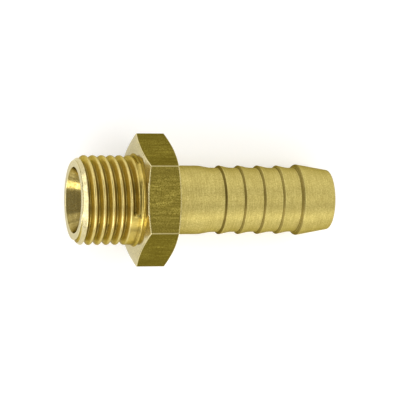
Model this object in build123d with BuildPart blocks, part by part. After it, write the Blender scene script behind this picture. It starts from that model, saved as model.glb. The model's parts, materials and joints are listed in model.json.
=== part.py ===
from build123d import *
import math
import os

# Hose tail with a male pipe thread, turned in one piece from hexagon brass bar.
# All sizes are in millimetres. The fitting lies on a level surface at z = 0: the
# tail-side edge of one flat and the last barb touch it, so its axis slopes down
# towards the tail. The origin is on that surface, under the middle of the fitting.

# Threaded end, at the thread's full diameter
thread_diameter = 13.157
thread_length = 9.05
lead_length = 1.3
lead_depth = 0.8

# Hexagon
hexagon_across_flats = 17.0
hexagon_width = 5.07
hexagon_corner_radius = 0.35
hexagon_face_setback = 0.3
hexagon_chamfer_angle = 15.0

# Plain neck between the hexagon and the barbs
neck_diameter = 10.12
neck_length = 4.75
neck_taper_length = 1.75
neck_blend_radius = 4.5

# Barbs, as high as given over the grooves between them: each has a steep shoulder towards
# the hexagon and a long slope to the next groove
groove_diameter = 9.5
groove_blend_radius = 4.0
barb_count = 4
barb_height = 0.35
barb_pitch = 2.97
first_barb_distance = 1.38
barb_shoulder_run = 0.22
barb_slope_angle = 12.5
barb_crest_chamfer = 0.07

# End of the tail: a higher barb, then a cone that guides the hose on
end_barb_pitch = 2.83
end_barb_height = 0.54
end_barb_shoulder_run = 0.17
end_barb_crest_radius = 0.35
end_cone_length = 5.15
end_cone_angle = 9.86
tail_end_radius = 0.3

# The most of a straight stretch that a blend beside it takes up
blend_share = 0.45

# Waterway
bore_diameter = 7.0
mouth_diameter = 9.74
mouth_cone_angle = 45.0

# Places along the axis, counted from the threaded end's face
hexagon_start = thread_length
hexagon_end = hexagon_start + hexagon_width
neck_end = hexagon_end + neck_length
taper_end = neck_end + neck_taper_length
first_barb = taper_end + first_barb_distance
barb_crests = [first_barb + barb * barb_pitch for barb in range(barb_count)]
end_barb = barb_crests[-1] + end_barb_pitch
total_length = end_barb + end_cone_length

# Radii, and the lengths of the slopes between them
thread_radius = thread_diameter / 2
end_face_radius = thread_radius - lead_depth
flat_radius = hexagon_across_flats / 2
corner_reach = hexagon_across_flats / math.sqrt(3)
face_radius = flat_radius - hexagon_face_setback
neck_radius = neck_diameter / 2
groove_radius = groove_diameter / 2
barb_radius = groove_radius + barb_height
end_barb_radius = groove_radius + end_barb_height
bore_radius = bore_diameter / 2
mouth_radius = mouth_diameter / 2
chamfer_slope = math.tan(math.radians(hexagon_chamfer_angle))
corner_chamfer_run = (corner_reach - face_radius) * chamfer_slope
flat_chamfer_run = hexagon_face_setback * chamfer_slope
barb_slope_run = barb_height / math.tan(math.radians(barb_slope_angle))
tail_end_corner = end_barb_radius - end_cone_length * math.tan(math.radians(end_cone_angle))
mouth_depth = (mouth_radius - bore_radius) / math.tan(math.radians(mouth_cone_angle / 2))

# Straight stretches of the grooves, from the foot of a slope to the foot of the next shoulder
first_groove = first_barb_distance - barb_shoulder_run
barb_groove = barb_pitch - barb_slope_run - barb_shoulder_run
end_groove = end_barb_pitch - barb_slope_run - end_barb_shoulder_run


def blend_radius(radius, rise, run, beside):
    """Radius of the blend at the end of a slope, limited by the slope and the stretch beside it."""
    room = blend_share * min(math.hypot(rise, run), beside)
    return min(radius, room / math.tan(math.atan2(abs(rise), run) / 2))


def arc_centre(corner, rise_angle, fall_angle, radius):
    """Centre of the arc that rounds an outer corner between two lines of the outline."""
    tangent = radius * math.tan((rise_angle - fall_angle) / 2)
    along_fall = Vector(math.cos(fall_angle), math.sin(fall_angle))
    outward = Vector(-math.sin(fall_angle), math.cos(fall_angle))
    return Vector(*corner) + along_fall * tangent - outward * radius


def slope_to(support, centre, radius):
    """Angle at which a line that leaves the support downwards just touches a rounded corner."""
    reach = centre - support
    return math.atan2(-reach.Y, reach.X) - math.asin(radius / reach.length)


# How the fitting lies: of the last barb and the tail's end, the one reached first holds it
support = Vector(hexagon_end - flat_chamfer_run, flat_radius)
shoulder_angle = math.atan2(end_barb_height, end_barb_shoulder_run)
cone_fall = -math.radians(end_cone_angle)
end_crest_centre = arc_centre((end_barb, end_barb_radius), shoulder_angle, cone_fall, end_barb_crest_radius)
tail_end_centre = arc_centre((total_length, tail_end_corner), cone_fall, -math.pi / 2, tail_end_radius)
lying_angle = min(
    slope_to(support, end_crest_centre, end_barb_crest_radius),
    slope_to(support, tail_end_centre, tail_end_radius),
)

# Frame of the fitting: its axis, the direction square to it that points up, and the place
# of the threaded end's centre, with the fitting's extent in x halved by the origin
along = Vector(math.cos(lying_angle), 0, -math.sin(lying_angle))
low_x = -end_face_radius * math.sin(lying_angle)
high_x = (
    tail_end_centre.X * math.cos(lying_angle)
    + tail_end_centre.Y * math.sin(lying_angle)
    + tail_end_radius
)
axis_height = support.X * math.sin(lying_angle) + support.Y * math.cos(lying_angle)
thread_end = Vector(-(low_x + high_x) / 2, 0, axis_height)
fitting_axis = Axis(thread_end, along)
section = Plane(origin=thread_end, x_dir=along, z_dir=(0, -1, 0))
bar_end = Plane(origin=thread_end, x_dir=(0, 1, 0), z_dir=along)


def corners_at(sketch, places):
    """The corners of a sketch that lie at the given places, each an axial distance and a radius."""
    return [sketch.vertices().sort_by_distance((axial, radius, 0))[0] for axial, radius in places]


# Outline of the turned fitting above its axis, from the threaded end to the tail's end
outline = [
    (0, 0),
    (0, end_face_radius),
    (lead_length, thread_radius),
    (hexagon_start, thread_radius),
    (hexagon_start, face_radius),
    (hexagon_start + corner_chamfer_run, corner_reach),
    (hexagon_end - corner_chamfer_run, corner_reach),
    (hexagon_end, face_radius),
    (hexagon_end, neck_radius),
    (neck_end, neck_radius),
    (taper_end, groove_radius),
]
for crest in barb_crests:
    outline += [
        (crest - barb_shoulder_run, groove_radius),
        (crest, barb_radius),
        (crest + barb_slope_run, groove_radius),
    ]
outline += [
    (end_barb - end_barb_shoulder_run, groove_radius),
    (end_barb, end_barb_radius),
    (total_length, tail_end_corner),
    (total_length, 0),
]
neck_step = neck_radius - groove_radius
neck_blend = blend_radius(neck_blend_radius, neck_step, neck_taper_length, neck_length)
taper_blend = blend_radius(groove_blend_radius, neck_step, neck_taper_length, first_groove)
slope_blend = blend_radius(groove_blend_radius, barb_height, barb_slope_run, min(barb_groove, end_groove))
slope_feet = [(crest + barb_slope_run, groove_radius) for crest in barb_crests]

with BuildPart() as hose_barb_tail:
    # Hexagon bar, with a flat facing down and the slightly soft corners of drawn bar
    with BuildSketch(bar_end) as bar:
        RegularPolygon(flat_radius, 6, major_radius=False)
        fillet(bar.vertices(), hexagon_corner_radius)
    extrude(amount=total_length)

    # Everything turned on the outside, in one outline
    with BuildSketch(section) as turned:
        with BuildLine():
            Polyline(*outline, close=True)
        make_face()
        chamfer(corners_at(turned, [(crest, barb_radius) for crest in barb_crests]), barb_crest_chamfer)
        fillet(corners_at(turned, [(end_barb, end_barb_radius)]), end_barb_crest_radius)
        fillet(corners_at(turned, [(total_length, tail_end_corner)]), tail_end_radius)
        fillet(corners_at(turned, [(neck_end, neck_radius)]), neck_blend)
        fillet(corners_at(turned, [(taper_end, groove_radius)]), taper_blend)
        fillet(corners_at(turned, slope_feet), slope_blend)
    revolve(axis=fitting_axis, mode=Mode.INTERSECT)

    # Waterway: a coned mouth at the threaded end, then a plain bore to the tail's end
    with BuildSketch(section) as waterway:
        with BuildLine():
            Polyline(
                (0, 0),
                (0, mouth_radius),
                (mouth_depth, bore_radius),
                (total_length, bore_radius),
                (total_length, 0),
                close=True,
            )
        make_face()
    revolve(axis=fitting_axis, mode=Mode.SUBTRACT)

hose_barb_tail.part.label = "hose_barb_tail"

os.makedirs("parts", exist_ok=True)
export_step(hose_barb_tail.part, "parts/hose_barb_tail.step")

extent = hose_barb_tail.part.bounding_box()
print("lying angle in degrees", round(math.degrees(lying_angle), 3))
print("volume in cubic millimetres", round(hose_barb_tail.part.volume, 1))
print("lowest corner", extent.min, "highest corner", extent.max)
print("centre of mass", hose_barb_tail.part.center(CenterOf.MASS))
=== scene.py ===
import bpy
import json
import math
from mathutils import Matrix, Vector


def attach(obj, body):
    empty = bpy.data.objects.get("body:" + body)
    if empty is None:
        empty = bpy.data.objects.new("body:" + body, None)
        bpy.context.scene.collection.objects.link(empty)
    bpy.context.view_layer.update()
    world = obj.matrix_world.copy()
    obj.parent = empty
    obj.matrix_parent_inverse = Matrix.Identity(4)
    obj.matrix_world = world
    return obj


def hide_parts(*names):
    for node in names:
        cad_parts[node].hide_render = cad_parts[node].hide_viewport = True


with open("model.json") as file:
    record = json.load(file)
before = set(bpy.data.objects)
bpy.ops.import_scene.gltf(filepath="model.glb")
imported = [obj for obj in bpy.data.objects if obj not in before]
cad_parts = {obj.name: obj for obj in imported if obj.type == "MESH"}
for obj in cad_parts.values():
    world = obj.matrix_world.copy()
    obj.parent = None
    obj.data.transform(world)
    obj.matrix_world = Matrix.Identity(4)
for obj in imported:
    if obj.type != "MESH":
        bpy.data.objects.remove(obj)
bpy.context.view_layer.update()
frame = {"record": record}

# Hose tail with a male pipe thread, in brass. The CAD solid has the plain cylinder of the thread;
# the piece built here has the helical thread, the soft edges and the finish of each surface.
# Sizes are in millimetres, and are turned into metres when the mesh is made.
MM = 0.001

mounts = {mount["name"]: mount for mount in frame["record"]["mounts"]}

# The fitting's own directions: along its axis to the tail, and square to a flat of the hexagon
along = Vector(mounts["flow_bore"]["axis"])
upward = Vector(mounts["spanner_flat"]["axis"])
sideways = upward.cross(along)

# Threaded end. The solid's own lead is a little longer, and gives the place of the end.
lead_length = 0.95
lead_depth = 0.8
solid_lead_length = 1.3
thread_radius = mounts["port_thread"]["dims"]["r_mm"]
thread_run = mounts["port_thread"]["dims"]["length_mm"]
thread_end = Vector(mounts["port_thread"]["pos_m"]) - along * (thread_run / 2 + solid_lead_length) * MM
end_face_radius = thread_radius - lead_depth
end_edge_rounding = 0.08
mouth_radius = 4.87
mouth_edge_rounding = 0.08


def axial(name):
    """Distance of a mount from the threaded end's face, along the axis."""
    return (Vector(mounts[name]["pos_m"]) - thread_end).dot(along) / MM


def height(name):
    """Distance of a mount from the axis, square to the upper flat."""
    return (Vector(mounts[name]["pos_m"]) - thread_end).dot(upward) / MM


# Parallel pipe thread of 1/4 inch, right-handed: its last groove ends part of the way round,
# and a faint trace of the next one shows beside the hexagon. Turns are counted along the helix
# from the first crest.
thread_pitch = 25.4 / 19
flank_angle = math.radians(27.5)
root_rounding = 0.137329 * thread_pitch
crest_rounding = 0.24
first_crest = 1.524
last_turn = 4 + 112 / 360
last_turn_fade = 4 / 360
trace_start = 4.86
trace_start_fade = 0.1
trace_turn = 5 + 37 / 360
trace_share = 0.22
lead_softness = 0.05

# Hexagon
hexagon_start = axial("seat_face")
hexagon_end = 2 * axial("spanner_flat") - hexagon_start
flat_radius = height("spanner_flat")
face_inset = 0.3
face_radius = flat_radius - face_inset
corner_radius = 0.25
chamfer_angle = math.radians(15)
edge_radius = 0.09
neck_fillet = 0.15

# Beside the seat: a fillet, a shallow groove measured back from the seat, and a tool's deeper
# mark in part of the groove
seat_fillet = 0.24
relief_start = 0.645
relief_end = 0.28
relief_edge = 0.08
relief_depth = 0.025
mark_depth = 0.22
mark_start = math.radians(67)
mark_end = math.radians(114)
mark_fade = math.radians(4)

# Tail
neck_radius = 5.06
neck_end = hexagon_end + 4.75
neck_blend_radius = 4.5
taper_end = neck_end + 1.75
groove_radius = 4.75
blend_radius = 4.0
barb_count = 4
barb_height = 0.35
barb_pitch = 2.97
first_barb = taper_end + 1.38
barb_shoulder = 0.22
barb_slope = barb_height / math.tan(math.radians(12.5))
barb_crest_radius = 0.1
barb_foot_radius = 0.06
barb_crests = [first_barb + barb * barb_pitch for barb in range(barb_count)]
end_barb = barb_crests[-1] + 2.83
end_barb_height = 0.54
end_barb_shoulder = 0.17
end_barb_crest_radius = 0.35
end_cone_angle = math.radians(9.86)
total_length = axial("hose_tail")
tail_end_radius = groove_radius + end_barb_height - (total_length - end_barb) * math.tan(end_cone_angle)
tail_end_rounding = 0.3

# Waterway
bore_radius = mounts["flow_bore"]["dims"]["r_mm"]
bore_edge_rounding = 0.12
mouth_depth = (mouth_radius - bore_radius) / math.tan(math.radians(22.5))

# Fineness of the mesh
corner_steps = 4
flat_steps = 32
rings_per_pitch = 24
edge_support = 0.025
arc_step = math.radians(15)
long_arc_step = 0.2
least_arc_steps = 3
chamfer_shares = (0, 0.03, 0.3, 0.6, 0.9)
edge_shares = (0, 0.2, 0.4, 0.6, 0.8, 1)
end_edge_steps = 4
seat_fillet_steps = 8
hexagon_steps = 12
bore_steps = 12
seam_step = 0.01

# Wear, with a painted highlight, and painted shade go by an edge value: a half is plain, more is an
# outer edge and less is a corner.
# The barbs' shoulders take painted shade from the first to the second distance from the crest.
plain_edge = 0.5
light_wear_and_highlight = 0.66
sharpest_bend = 16.0
corner_weight = 1.2
shoulder_edges = [0.15, 0.23, 0.22, 0.26, 0.21]
shoulder_span = (-0.2, 0.01)
end_shoulder_span = (-0.1, 0.18)


def smooth(value):
    """Smooth step from 0 to 1 while the value goes from 0 to 1."""
    value = min(max(value, 0), 1)
    return value * value * (3 - 2 * value)


def rounded(places):
    """Outline through the places, each an axial distance, a radius and the rounding of its corner.
    The first and last place only give the directions there."""
    outline = []
    for before, (s, r, rounding), after in zip(places, places[1:], places[2:]):
        corner = Vector((s, r))
        arriving = (corner - Vector(before[:2])).normalized()
        leaving = (Vector(after[:2]) - corner).normalized()
        turn = arriving.angle_signed(leaving)
        reach = rounding * math.tan(abs(turn) / 2)
        inward = Vector((arriving.y, -arriving.x)) * (1 if turn > 0 else -1)
        centre = corner - arriving * reach + inward * rounding
        fine_steps = math.ceil(abs(turn) / arc_step)
        long_steps = math.ceil(abs(turn) * rounding / long_arc_step)
        steps = max(least_arc_steps, fine_steps, long_steps)
        outline.append(corner - arriving * (reach + edge_support))
        for step in range(steps + 1):
            outline.append(centre - Matrix.Rotation(-turn * step / steps, 2) @ inward * rounding)
        outline.append(corner + leaving * (reach + edge_support))
    return [tuple(place) for place in outline]


# Directions around the axis, from +Y over the upper flat, closer together at the hexagon's corners
sixth = math.pi / 3
corner_half = sixth / 2 - math.atan((flat_radius - corner_radius) * math.tan(sixth / 2) / flat_radius)
columns = []
for flat in range(6):
    columns += [flat * sixth + corner_half * step / corner_steps for step in range(corner_steps)]
    flat_step = (sixth - 2 * corner_half) / flat_steps
    columns += [flat * sixth + corner_half + flat_step * step for step in range(flat_steps)]
    next_corner = (flat + 1) * sixth
    columns += [next_corner - corner_half * (1 - step / corner_steps) for step in range(corner_steps)]


def hexagon_reach(angle):
    """Distance from the axis to the hexagon with its rounded corners, in a direction around the axis."""
    from_corner = min(angle % sixth, sixth - angle % sixth)
    if from_corner > corner_half:
        return flat_radius / math.cos(sixth / 2 - from_corner)
    centre = (flat_radius - corner_radius) / math.cos(sixth / 2)
    across = centre * math.sin(from_corner)
    return centre * math.cos(from_corner) + math.sqrt(corner_radius**2 - across**2)


def arc_drop(run, rounding):
    """How far a rounded crest or root has dropped at a distance from its middle."""
    return rounding - math.sqrt(rounding**2 - run**2)


def thread_drop(distance):
    """How far the thread's profile lies under its crest, by distance from the middle of a groove."""
    crest_run = crest_rounding * math.cos(flank_angle)
    root_run = root_rounding * math.cos(flank_angle)
    from_crest = thread_pitch / 2 - distance
    if from_crest < crest_run:
        return arc_drop(from_crest, crest_rounding)
    flank = max(distance, root_run)
    drop = arc_drop(crest_run, crest_rounding)
    drop += (thread_pitch / 2 - flank - crest_run) / math.tan(flank_angle)
    if distance < root_run:
        drop += arc_drop(root_run, root_rounding) - arc_drop(distance, root_rounding)
    return drop


def lead_drop(s):
    """How far the lead's cone lies under the thread's full radius."""
    return lead_depth * (1 - s / lead_length)


def groove_drop(s, angle):
    """How far the thread's groove lies under the full radius, with its last turn and its trace,
    or the shallow groove beside the hexagon with the tool's mark in it."""
    relief = smooth((s - hexagon_start + relief_start) / relief_edge)
    relief -= smooth((s - hexagon_start + relief_end) / relief_edge + 1)
    turns = (s - first_crest) / thread_pitch - angle / (2 * math.pi)
    crest = math.floor(turns)
    reached = crest + angle / (2 * math.pi)
    depth = 1 - smooth((reached - last_turn) / last_turn_fade + 1)
    trace = smooth((reached - trace_start) / trace_start_fade)
    trace -= smooth((reached - trace_turn) / last_turn_fade + 1)
    cut = max(depth, trace_share * trace) * thread_drop(abs(turns - crest - 0.5) * thread_pitch)
    mark = smooth((angle - mark_start) / mark_fade) - smooth((angle - mark_end) / mark_fade + 1)
    groove = relief_depth + (mark_depth - relief_depth) * mark
    return max(cut, groove * relief)


def threaded_radius(s, angle):
    """Radius of the threaded end at an axial distance and a direction around the axis."""
    drop = groove_drop(s, angle)
    lead = lead_drop(s)
    blend = max(lead_softness - abs(lead - drop), 0) ** 2 / (4 * lead_softness)
    return thread_radius - max(drop, lead, 0) - blend


def end_edge(angle, share):
    """A place on the rounded outer edge of the threaded end's face."""
    r = threaded_radius(end_edge_rounding, angle)
    swing = math.pi / 2 * share
    return end_edge_rounding * (1 - math.cos(swing)), r - end_edge_rounding * (1 - math.sin(swing))


def seat_place(angle, share):
    """A place on the fillet between the threaded end and the hexagon's face."""
    r = threaded_radius(hexagon_start - seat_fillet, angle)
    swing = math.pi / 2 * share
    return hexagon_start - seat_fillet * (1 - math.sin(swing)), r + seat_fillet * (1 - math.cos(swing))


def chamfer_place(angle, share):
    """A place on the hexagon's chamfer, 0 at the face and 1 at the flat, with distance from the face."""
    rise = (hexagon_reach(angle) - face_radius) * share
    return rise * math.tan(chamfer_angle), face_radius + rise


def edge_place(angle, share):
    """A place on the rounded edge between the chamfer and the flat, with distance from the face."""
    turn = math.pi / 2 - chamfer_angle
    run, r = chamfer_place(angle, 1)
    swing = turn * (1 - share)
    run += edge_radius * (math.tan(turn / 2) - math.sin(swing))
    return run, r - edge_radius * (1 - math.cos(swing))


def inner_place(angle, share):
    """The place on the flat just beside its rounded edge, with distance from the face."""
    run, r = edge_place(angle, 1)
    return run + edge_support * share, r


# The mesh is a row of rings that closes on itself: over the threaded end, the hexagon and the
# tail, and back through the bore. Each ring holds an axial distance and a radius for each column.
rings = []
finishes = {}


def begin(finish):
    """The rings from here on have this finish."""
    finishes[len(rings)] = finish


def add_ring(place, *share):
    """One ring, from a function that gives a place for a direction."""
    rings.append([place(angle, *share) for angle in columns])


def add_circles(outline):
    """Plain circles through an outline."""
    rings.extend([place] * len(columns) for place in outline)


def add_threaded_end():
    """End face, thread with its lead, and the fillet at the hexagon."""
    begin("faced")
    add_circles(rounded([
        (mouth_depth, bore_radius, 0),
        (0, mouth_radius, mouth_edge_rounding),
        (0, end_face_radius, 0),
    ]))
    add_ring(lambda angle: (0, end_edge(angle, 0)[1] - edge_support))
    for step in range(end_edge_steps + 1):
        add_ring(end_edge, step / end_edge_steps)
    begin("threaded")
    start = end_edge_rounding
    run = hexagon_start - seat_fillet - start
    steps = round(run / thread_pitch * rings_per_pitch)
    for step in range(1, steps + 1):
        s = start + run * step / steps
        add_ring(lambda angle: (s, threaded_radius(s, angle)))
    for step in range(seat_fillet_steps):
        add_ring(seat_place, (step + 1) / seat_fillet_steps)


def add_hexagon():
    """Both faces' chamfers, the rounded edges and the flats."""
    begin("faced")
    add_circles([(hexagon_start, thread_radius + seat_fillet + edge_support)])
    add_circles([(hexagon_start, (thread_radius + face_radius) / 2)])
    side = [(chamfer_place, share) for share in chamfer_shares]
    side += [(edge_place, share) for share in edge_shares]
    side += [(inner_place, 1)]
    near = [[place(angle, share) for angle in columns] for place, share in side]
    rings.extend([(hexagon_start + run, r) for run, r in ring] for ring in near[:-1])
    begin("drawn")
    rings.append([(hexagon_start + run, r) for run, r in near[-1]])
    width = hexagon_end - hexagon_start
    for step in range(1, hexagon_steps):
        share = step / hexagon_steps
        rings.append([(hexagon_start + run + (width - 2 * run) * share, r) for run, r in near[-1]])
    rings.append([(hexagon_end - run, r) for run, r in near[-1]])
    begin("faced")
    rings.extend([(hexagon_end - run, r) for run, r in ring] for ring in reversed(near[:-1]))


def add_tail():
    """Neck, barbs and end cone, in one turned outline."""
    places = [
        (hexagon_end, face_radius, 0),
        (hexagon_end, neck_radius, neck_fillet),
        (neck_end, neck_radius, neck_blend_radius),
        (taper_end, groove_radius, blend_radius),
    ]
    for crest in barb_crests:
        places += [
            (crest - barb_shoulder, groove_radius, barb_foot_radius),
            (crest, groove_radius + barb_height, barb_crest_radius),
            (crest + barb_slope, groove_radius, blend_radius),
        ]
    places += [
        (end_barb - end_barb_shoulder, groove_radius, barb_foot_radius),
        (end_barb, groove_radius + end_barb_height, end_barb_crest_radius),
        (total_length, tail_end_radius, tail_end_rounding),
        (total_length, bore_radius, bore_edge_rounding),
        (mouth_depth, bore_radius, 0),
    ]
    begin("turned")
    add_circles(rounded(places))


def add_bore():
    """The bore, from the tail's end back to the mouth's cone."""
    begin("bored")
    run = total_length - mouth_depth
    add_circles([(total_length - run * step / bore_steps, bore_radius) for step in range(1, bore_steps)])
    add_circles([(mouth_depth + edge_support, bore_radius), (mouth_depth, bore_radius + seam_step)])


def bend(before, here, after):
    """Curvature of a line at the middle one of three points, more than nothing on an outer edge."""
    arriving = here - before
    leaving = after - here
    return 2 * arriving.angle_signed(leaving) / (arriving.length + leaving.length)


def shoulder_edge(s):
    """The edge value of the painted shade on the steep side of a barb, or nothing elsewhere."""
    spans = [(crest, shoulder_span) for crest in barb_crests] + [(end_barb, end_shoulder_span)]
    for (crest, (start, end)), dirty_edge in zip(spans, shoulder_edges):
        if crest + start < s < crest + end:
            return dirty_edge
    return None


def edge_of(ring, column):
    """The edge value at a point: above a half on an outer edge, below it in a corner."""
    rows = [rings[ring - 1], rings[ring], rings[(ring + 1) % len(rings)]]
    along_outline = bend(*[Vector(row[column]) for row in rows])
    beside = [column - 1, column, (column + 1) % len(columns)]
    spots = [(columns[place], rings[ring][place][1]) for place in beside]
    around = bend(*[Vector((r * math.sin(angle), r * math.cos(angle))) for angle, r in spots])
    s, r = rings[ring][column]
    # the barbs' steep shoulders take a set edge value, which paints shade on them
    if r > groove_radius - edge_support and shoulder_edge(s) is not None:
        return shoulder_edge(s)
    # beside the seat and on the tail the worn edges with their painted highlight stay faint, and the
    # seat's fillet takes no painted shade
    beside_seat = hexagon_start - thread_pitch < s < hexagon_start
    most = light_wear_and_highlight if s > neck_end or beside_seat else 1
    on_fillet = hexagon_start - seat_fillet < s <= hexagon_start and r > thread_radius - edge_support
    least = plain_edge if on_fillet else 0
    sharpness = (along_outline + corner_weight * around) / sharpest_bend
    return min(max(plain_edge + sharpness, least), most)


def build_fitting():
    """The mesh, with a surface map along and around it, and the edge value at each point."""
    add_threaded_end()
    add_hexagon()
    add_tail()
    add_bore()
    vertices = []
    for ring in rings:
        for angle, (s, r) in zip(columns, ring):
            around = sideways * math.cos(angle) + upward * math.sin(angle)
            vertices.append(thread_end + (along * s + around * r) * MM)
    count = len(columns)
    faces = []
    for ring in range(len(rings)):
        here = ring * count
        there = (ring + 1) % len(rings) * count
        for column in range(count):
            beside = (column + 1) % count
            faces.append((here + column, here + beside, there + beside, there + column))
    mesh = bpy.data.meshes.new("hose_barb_fitting")
    mesh.from_pydata(vertices, [], faces)
    mesh.shade_smooth()
    grain = mesh.uv_layers.new(name="grain")
    corners = [(0, 0), (0, 1), (1, 1), (1, 0)]
    for face in range(len(faces)):
        ring, column = divmod(face, count)
        for corner, (down, across) in enumerate(corners):
            place = ((ring + down) / len(rings), (column + across) / count)
            grain.data[face * 4 + corner].uv = place
    edge = mesh.attributes.new("edge", "FLOAT", "POINT")
    values = [edge_of(ring, column) for ring in range(len(rings)) for column in range(count)]
    edge.data.foreach_set("value", values)
    return mesh


mesh = build_fitting()
fitting = bpy.data.objects.new("hose_barb_fitting", mesh)
bpy.context.scene.collection.objects.link(fitting)


def add_node(nodes, kind, **values):
    """A node with its settings, and its plain inputs by name."""
    node = nodes.new(kind)
    for key, value in values.items():
        if key in node.inputs:
            node.inputs[key].default_value = value
        else:
            setattr(node, key, value)
    return node


def fitting_place(tree):
    """The place on the fitting in millimetres: along its axis, sideways and upward."""
    place = add_node(tree.nodes, "ShaderNodeTexCoord")
    mapping = add_node(tree.nodes, "ShaderNodeMapping")
    lying = math.atan2(-along.z, along.x)
    turn = Matrix.Rotation(-lying, 3, "Y")
    mapping.inputs["Rotation"].default_value = (0, -lying, 0)
    mapping.inputs["Scale"].default_value = (1 / MM, 1 / MM, 1 / MM)
    mapping.inputs["Location"].default_value = -(turn @ thread_end) / MM
    tree.links.new(place.outputs["Object"], mapping.inputs["Vector"])
    return mapping.outputs["Vector"]


def noise_of(tree, vector, scale, detail=2.0):
    """A noise over a stretched place."""
    stretched = add_node(tree.nodes, "ShaderNodeVectorMath", operation="MULTIPLY")
    stretched.inputs[1].default_value = scale
    tree.links.new(vector, stretched.inputs[0])
    noise = add_node(tree.nodes, "ShaderNodeTexNoise", Scale=1.0, Detail=detail)
    tree.links.new(stretched.outputs["Vector"], noise.inputs["Vector"])
    return noise.outputs["Fac"]


def remap(tree, value, low, high, start=0.3, end=0.7):
    """The value spread from low to high, while it goes from start to end."""
    node = add_node(tree.nodes, "ShaderNodeMapRange")
    node.inputs["From Min"].default_value = start
    node.inputs["From Max"].default_value = end
    node.inputs["To Min"].default_value = low
    node.inputs["To Max"].default_value = high
    tree.links.new(value, node.inputs["Value"])
    return node.outputs["Result"]


def mixed(tree, share, first, second):
    """The first colour mixed with the second: each is a plain colour or a node's output."""
    node = add_node(tree.nodes, "ShaderNodeMix", data_type="RGBA")
    # the colour sockets come after those for numbers and vectors
    first_socket, second_socket, mixed_socket = node.inputs[6], node.inputs[7], node.outputs[2]
    tree.links.new(share, node.inputs["Factor"])
    for socket, colour in ((first_socket, first), (second_socket, second)):
        if isinstance(colour, tuple):
            socket.default_value = colour
        else:
            tree.links.new(colour, socket)
    return mixed_socket


def away_from_axis(tree, split):
    """The distance from the axis, from the separate parts of a place."""
    across = add_node(tree.nodes, "ShaderNodeCombineXYZ")
    tree.links.new(split.outputs["Y"], across.inputs["Y"])
    tree.links.new(split.outputs["Z"], across.inputs["Z"])
    away = add_node(tree.nodes, "ShaderNodeVectorMath", operation="LENGTH")
    tree.links.new(across.outputs["Vector"], away.inputs[0])
    return away.outputs["Value"]


def ring_place(tree, split):
    """The place seen by a lathe: along the axis, away from it, and a slow drift around it."""
    turned = add_node(tree.nodes, "ShaderNodeCombineXYZ")
    tree.links.new(split.outputs["X"], turned.inputs["X"])
    tree.links.new(away_from_axis(tree, split), turned.inputs["Y"])
    tree.links.new(split.outputs["Y"], turned.inputs["Z"])
    return turned.outputs["Vector"]


# Finishes: grain is how many marks there are for each millimetre along the axis, away from it and
# around it, or for drawn flats along, sideways and up, and specks is how many specks there are.
# Bump is the depth of the marks in metres, turn is how far the marks lie from square to the axis,
# as a share of a full turn, contrast is how far marks and specks reach towards the dull colour,
# and rim tints the shine at a grazing angle.
finish_table = {
    "faced": dict(
        colour=(0.675, 0.605, 0.36), roughness=(0.14, 0.22), anisotropy=0.5, turn=0.0,
        rim=(0.90, 0.88, 0.76, 1),
        grain=(8, 8, 0.5), bump=1.2e-6, specks=3.0, contrast=0.6,
    ),
    "threaded": dict(
        colour=(0.66, 0.52, 0.145), roughness=(0.28, 0.38), anisotropy=0.6, turn=0.0,
        rim=(0.50, 0.46, 0.33, 1),
        grain=(7, 7, 0.7), bump=1.2e-6, specks=3.0, contrast=0.6,
    ),
    "drawn": dict(
        colour=(0.385, 0.315, 0.064), roughness=(0.46, 0.58), anisotropy=0.3, turn=0.25,
        rim=(0.50, 0.46, 0.33, 1),
        grain=(0.3, 2.8, 2.8), bump=1.6e-6, specks=5.5, contrast=1.0,
    ),
    "turned": dict(
        colour=(0.68, 0.582, 0.208), roughness=(0.48, 0.6), anisotropy=0.6, turn=0.0,
        rim=(0.34, 0.30, 0.20, 1),
        grain=(7, 7, 0.5), bump=1.6e-6, specks=5.5, contrast=0.75,
    ),
    "bored": dict(
        colour=(0.50, 0.405, 0.146), roughness=(0.2, 0.3), anisotropy=0.85, turn=0.0,
        rim=(0.50, 0.46, 0.33, 1),
        grain=(3, 3, 0.3), bump=1.2e-6, specks=2.4, contrast=1.0,
    ),
}
dull_share = (0.62, 0.58, 0.46)
drawn_dull_share = (0.34, 0.32, 0.24)
# paler brass for worn edges, which also paints a highlight there, and a dark brown that paints shade
# into corners, thread roots and the barbs' shoulders
worn_and_highlit_brass = (0.62, 0.54, 0.27, 1)
painted_shade_colour = (0.13, 0.09, 0.018, 1)

# Edge values at which wear with its painted highlight starts and is full, and at which painted shade is
# full and ends
wear_and_highlight_start = 0.6
wear_and_highlight_full = 0.95
most_wear_and_highlight = 0.8
painted_shade_full = 0.1
painted_shade_end = 0.46
most_painted_shade = 0.85

# Slow clouds and fine specks of duller brass
cloud_grain = 0.5
cloud_share = 0.3
speckle_start = 0.35
speckle_end = 0.65
fine_detail = 3.0

# The hexagon's flats grow duller between these distances from the axis, towards the corners
bright_until = 8.55
dull_from = 9.35
corner_dullness = 0.55


def shaded(colour, share):
    """The colour with each channel times its share, as a node's colour."""
    return tuple(min(value * part, 1) for value, part in zip(colour, share)) + (1,)


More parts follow.
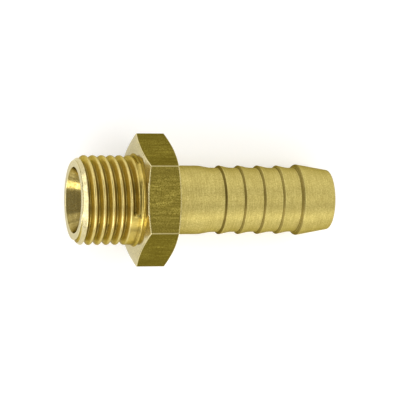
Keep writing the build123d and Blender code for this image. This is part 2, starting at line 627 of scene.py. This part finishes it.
def brass(finish):
    """Brass with the marks of one finish, paler on worn edges with a painted highlight, and darker in
    corners with painted shade.
    """
    facts = finish_table[finish]
    plain = shaded(facts["colour"], (1, 1, 1))
    dull = shaded(facts["colour"], drawn_dull_share if finish == "drawn" else dull_share)
    material = bpy.data.materials.new("brass_" + finish)
    material.use_nodes = True
    tree = material.node_tree
    shader = tree.nodes["Principled BSDF"]
    shader.inputs["Metallic"].default_value = 1.0
    shader.inputs["Anisotropic"].default_value = facts["anisotropy"]
    shader.inputs["Anisotropic Rotation"].default_value = facts["turn"]
    shader.inputs["Specular Tint"].default_value = facts["rim"]
    place = fitting_place(tree)
    split = add_node(tree.nodes, "ShaderNodeSeparateXYZ")
    tree.links.new(place, split.inputs["Vector"])
    marks_place = place if finish == "drawn" else ring_place(tree, split)
    marks = noise_of(tree, marks_place, facts["grain"], fine_detail)
    cloud = noise_of(tree, place, (cloud_grain,) * 3, fine_detail)
    speckle = noise_of(tree, place, (facts["specks"],) * 3)
    contrast = facts["contrast"]

    edge = add_node(tree.nodes, "ShaderNodeAttribute", attribute_name="edge")
    # outer edges go paler, for wear and a painted highlight; corners go dark brown, for painted shade
    wear_and_highlight = remap(tree, edge.outputs["Fac"], 0.0, most_wear_and_highlight, wear_and_highlight_start, wear_and_highlight_full)
    painted_shade = remap(tree, edge.outputs["Fac"], most_painted_shade, 0.0, painted_shade_full, painted_shade_end)
    mottled = mixed(tree, remap(tree, cloud, 0.0, cloud_share), plain, dull)
    streaked = mixed(tree, remap(tree, marks, 0.0, contrast), mottled, dull)
    specks = remap(tree, speckle, 0.0, contrast, speckle_start, speckle_end)
    speckled = mixed(tree, specks, streaked, dull)
    if finish == "drawn":
        away = away_from_axis(tree, split)
        beside_corner = remap(tree, away, 0.0, corner_dullness, bright_until, dull_from)
        speckled = mixed(tree, beside_corner, speckled, dull)
    # painted shade darkens corners, thread roots and the barbs' shoulders, then worn edges take a paler
    # colour that is also a painted highlight
    with_painted_shade = mixed(tree, painted_shade, speckled, painted_shade_colour)
    tree.links.new(mixed(tree, wear_and_highlight, with_painted_shade, worn_and_highlit_brass), shader.inputs["Base Color"])

    smoothest, roughest = facts["roughness"]
    tree.links.new(remap(tree, speckle, smoothest, roughest), shader.inputs["Roughness"])
    relief = add_node(tree.nodes, "ShaderNodeBump", Strength=1.0, Distance=facts["bump"])
    tree.links.new(marks, relief.inputs["Height"])
    tree.links.new(relief.outputs["Normal"], shader.inputs["Normal"])
    lay = add_node(tree.nodes, "ShaderNodeTangent", direction_type="UV_MAP", uv_map="grain")
    tree.links.new(lay.outputs["Tangent"], shader.inputs["Tangent"])
    return material


def paint_fitting():
    """Each face of the fitting takes the finish of its ring."""
    names = list(finish_table)
    for name in names:
        mesh.materials.append(brass(name))
    count = len(columns)
    current = 0
    slots = []
    for ring in range(len(rings)):
        if ring in finishes:
            current = names.index(finishes[ring])
        for angle, (s, r) in zip(columns, rings[ring]):
            on_lead = r > end_face_radius and s < lead_length and lead_drop(s) > groove_drop(s, angle)
            slots.append(names.index("faced") if on_lead else current)
    mesh.polygons.foreach_set("material_index", slots)


paint_fitting()
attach(fitting, "root")
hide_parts("hose_barb_tail")

# Camera, in millimetres and radians: above the fitting, tipped a little towards the threaded end
camera_distance = 450.0
camera_tilt = 0.2775
camera_roll = -0.0022
aim_along = 19.227
aim_sideways = -0.025
focal_pixels = 3049.17
image_width = 400
sensor_width = 36.0

# Floor and world, the floor's reach in metres
floor_reach = 3.0
floor_colour = (0.85, 0.85, 0.85, 1)
floor_glow = 0.257
world_colour = (1.0, 0.98, 0.95, 1)
world_strength = 0.37

# Softboxes in metres and degrees: azimuth 0 is on the tail's side and 90 on the far side
softbox_distance = 0.6
full_level = 4.0
softboxes = {
    "softbox_left_far": dict(azimuth=146, elevation=12, width=0.42, height=0.2, level=1.55),
    "softbox_left": dict(azimuth=180, elevation=12, width=0.23, height=0.2, level=2.7),
    "softbox_left_near": dict(azimuth=224, elevation=13, width=0.62, height=0.22, level=0.95),
    "softbox_left_high": dict(azimuth=186, elevation=31, width=0.76, height=0.22, level=1.55),
    "softbox_near": dict(azimuth=248, elevation=32, width=0.56, height=0.2, level=2.1),
    "softbox_near_high": dict(azimuth=292, elevation=52, width=0.42, height=0.2, level=1.05),
    "softbox_near_strip": dict(azimuth=249, elevation=31, width=0.07, height=0.3, level=5.2),
    "softbox_near_low": dict(azimuth=289, elevation=20, width=0.3, height=0.24, level=0.6),
    "softbox_far": dict(azimuth=90, elevation=22, width=0.42, height=0.4, level=1.25),
    "softbox_right_near": dict(azimuth=315, elevation=14, width=0.44, height=0.24, level=1.4),
    "softbox_right": dict(azimuth=0, elevation=58, width=0.34, height=0.26, level=2.5),
    "softbox_right_low": dict(azimuth=0, elevation=12, width=0.44, height=0.2, level=0.2),
    "softbox_right_far": dict(azimuth=45, elevation=32, width=0.38, height=0.6, level=1.05),
}


def add_camera():
    """The camera, at the photograph's viewing angle."""
    back = upward * math.cos(camera_tilt) - along * math.sin(camera_tilt)
    right = along * math.cos(camera_tilt) + upward * math.sin(camera_tilt)
    turned_right = right * math.cos(camera_roll) + sideways * math.sin(camera_roll)
    turned_up = sideways * math.cos(camera_roll) - right * math.sin(camera_roll)
    aim = thread_end + (along * aim_along + sideways * aim_sideways) * MM
    data = bpy.data.cameras.new("camera")
    data.sensor_width = sensor_width
    data.lens = focal_pixels * sensor_width / image_width
    camera = bpy.data.objects.new("camera", data)
    turn = Matrix((turned_right, turned_up, back)).transposed()
    camera.matrix_world = Matrix.Translation(aim + back * camera_distance * MM) @ turn.to_4x4()
    bpy.context.scene.collection.objects.link(camera)
    bpy.context.scene.camera = camera


def add_softbox(name, azimuth, elevation, width, height, level):
    """A softbox that faces the fitting, as bright as the level says for each part of its face."""
    around = math.radians(azimuth)
    above = math.radians(elevation)
    level_share = math.cos(above)
    direction = Vector((level_share * math.cos(around), level_share * math.sin(around), math.sin(above)))
    data = bpy.data.lights.new(name, "AREA")
    data.shape = "RECTANGLE"
    data.size = width
    data.size_y = height
    data.energy = level * full_level * width * height
    lamp = bpy.data.objects.new(name, data)
    lamp.visible_camera = False
    lamp.location = direction * softbox_distance
    lamp.rotation_euler = direction.to_track_quat("Z", "Y").to_euler()
    bpy.context.scene.collection.objects.link(lamp)


def add_floor():
    """A plain white floor that keeps the fitting's shadow."""
    data = bpy.data.meshes.new("floor")
    sides = ((-1, -1), (1, -1), (1, 1), (-1, 1))
    data.from_pydata([(x * floor_reach, y * floor_reach, 0) for x, y in sides], [], [(0, 1, 2, 3)])
    floor = bpy.data.objects.new("floor", data)
    bpy.context.scene.collection.objects.link(floor)
    material = bpy.data.materials.new("floor_white")
    material.use_nodes = True
    tree = material.node_tree
    tree.nodes.clear()
    matt = add_node(tree.nodes, "ShaderNodeBsdfDiffuse")
    matt.inputs["Color"].default_value = floor_colour
    glow = add_node(tree.nodes, "ShaderNodeEmission")
    rays = add_node(tree.nodes, "ShaderNodeLightPath")
    seen = add_node(tree.nodes, "ShaderNodeMath", operation="MAXIMUM")
    tree.links.new(rays.outputs["Is Camera Ray"], seen.inputs[0])
    tree.links.new(rays.outputs["Is Glossy Ray"], seen.inputs[1])
    also = add_node(tree.nodes, "ShaderNodeMath", operation="MAXIMUM")
    tree.links.new(seen.outputs[0], also.inputs[0])
    tree.links.new(rays.outputs["Is Transmission Ray"], also.inputs[1])
    strength = add_node(tree.nodes, "ShaderNodeMath", operation="MULTIPLY")
    tree.links.new(also.outputs[0], strength.inputs[0])
    strength.inputs[1].default_value = floor_glow
    tree.links.new(strength.outputs[0], glow.inputs["Strength"])
    both = add_node(tree.nodes, "ShaderNodeAddShader")
    tree.links.new(matt.outputs["BSDF"], both.inputs[0])
    tree.links.new(glow.outputs["Emission"], both.inputs[1])
    out = add_node(tree.nodes, "ShaderNodeOutputMaterial")
    tree.links.new(both.outputs["Shader"], out.inputs["Surface"])
    data.materials.append(material)


add_camera()
add_floor()
for name, place in softboxes.items():
    add_softbox(name, **place)

world = bpy.data.worlds.new("world")
world.use_nodes = True
world.node_tree.nodes["Background"].inputs["Color"].default_value = world_colour
world.node_tree.nodes["Background"].inputs["Strength"].default_value = world_strength
bpy.context.scene.world = world
bpy.context.scene.view_settings.view_transform = "Standard"
